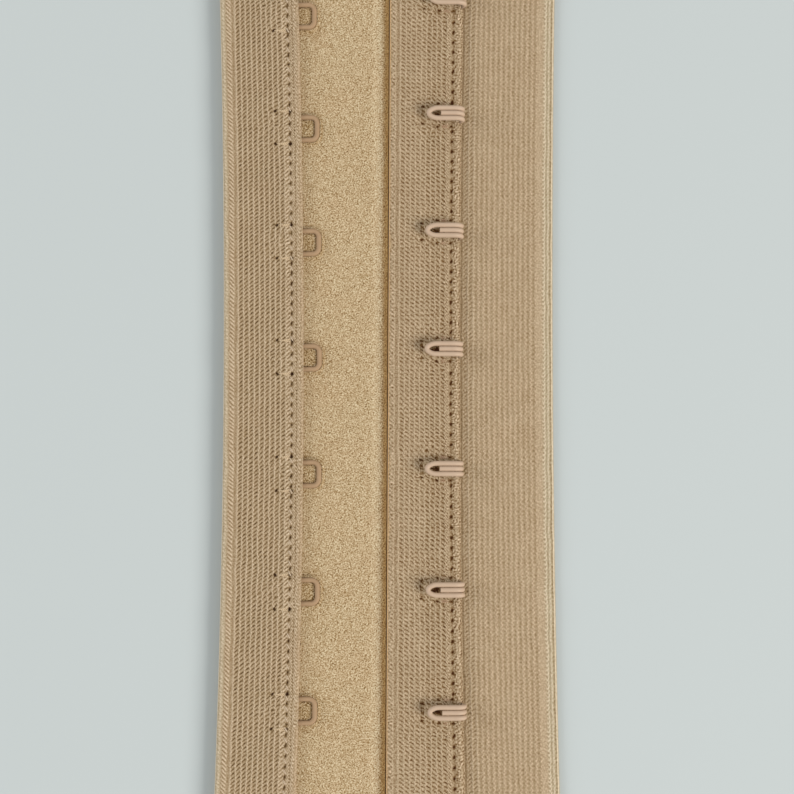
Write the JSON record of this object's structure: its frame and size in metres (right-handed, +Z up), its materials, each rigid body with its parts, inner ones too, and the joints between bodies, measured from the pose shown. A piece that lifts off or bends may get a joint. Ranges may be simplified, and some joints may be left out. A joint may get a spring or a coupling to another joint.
{
  "type": "hook and eye tape",
  "caption": "Ribbed knit tape with a row of flat coated-wire hooks, beside its mating tape with a row of wire eyes over a brushed underlay.",
  "frame": {"origin": "middle of the pair of tapes, on the table they lie on", "axes": "+X across the tapes from the eye tape to the hook tape, +Y along the tapes, +Z up from the table"},
  "size_m": [0.055, 0.142, 0.0042],
  "materials": {
    "ribbed_knit": "matt ribbed nylon knit, beige",
    "brushed_plush": "brushed short nylon pile, beige",
    "coated_wire": "satin nylon coating on steel wire, pinkish beige",
    "sewing_thread": "twisted filament thread with a slight sheen, beige"
  },
  "bodies": {
    "root": {"eye_tape_plush": "brushed_plush", "eye_tape_cover": "ribbed_knit", "hook_tape_flap": "ribbed_knit", "hook_tape_cover": "ribbed_knit", "hook_1": "coated_wire", "hook_2": "coated_wire", "hook_3": "coated_wire", "hook_4": "coated_wire", "hook_5": "coated_wire", "hook_6": "coated_wire", "hook_7": "coated_wire", "eye_1": "coated_wire", "eye_2": "coated_wire", "eye_3": "coated_wire", "eye_4": "coated_wire", "eye_5": "coated_wire", "eye_6": "coated_wire", "eye_7": "coated_wire"}
  },
  "joints": []
}
